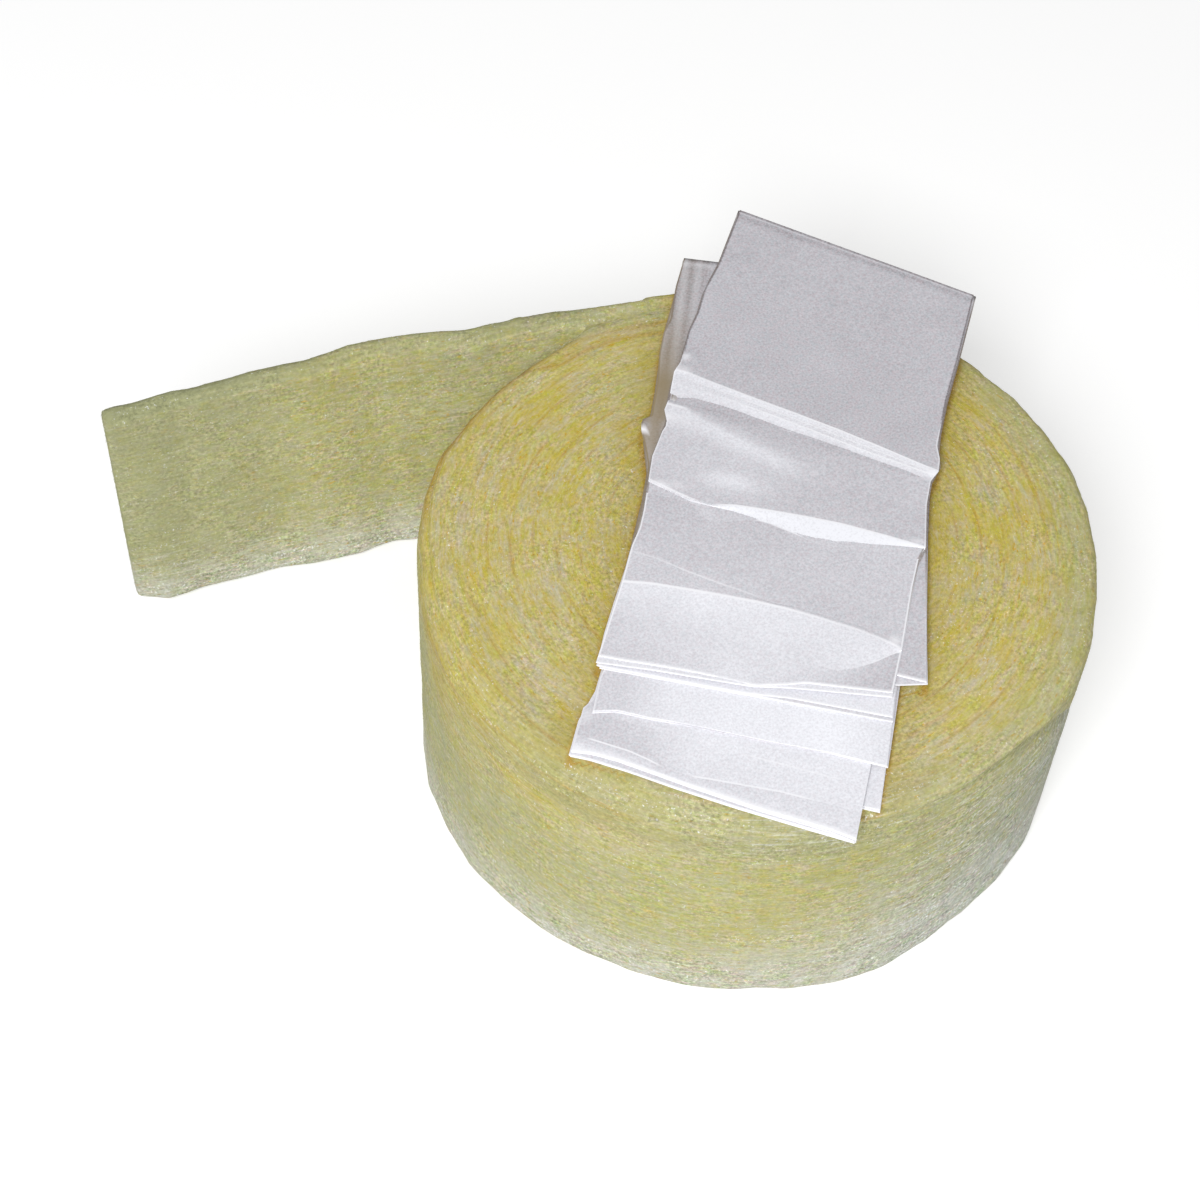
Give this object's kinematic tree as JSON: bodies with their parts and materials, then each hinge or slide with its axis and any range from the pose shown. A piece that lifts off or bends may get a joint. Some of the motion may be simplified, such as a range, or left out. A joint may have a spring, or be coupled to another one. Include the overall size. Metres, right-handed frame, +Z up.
{
  "type": "insulation roll",
  "caption": "Coreless roll of glass-wool pipe wrap lying on its edge, with a free tail standing on edge and its folded plastic finishing film on top.",
  "frame": {"origin": "on the floor, under the middle of the whole object's box", "axes": "+X from the free end of the tail towards the roll, +Y from the roll's axis towards the side where the tail leaves, +Z up along the roll's axis"},
  "size_m": [0.443, 0.3752, 0.1611],
  "materials": {
    "glass_wool": "matt pale-yellow glass fibre with cream streaks and orange-brown binder specks",
    "clear_film": "thin glossy polyethylene, greyish white where many layers lie together"
  },
  "bodies": {
    "root": {"glass_wool_strip": "glass_wool", "plastic_film": "clear_film"}
  },
  "joints": []
}
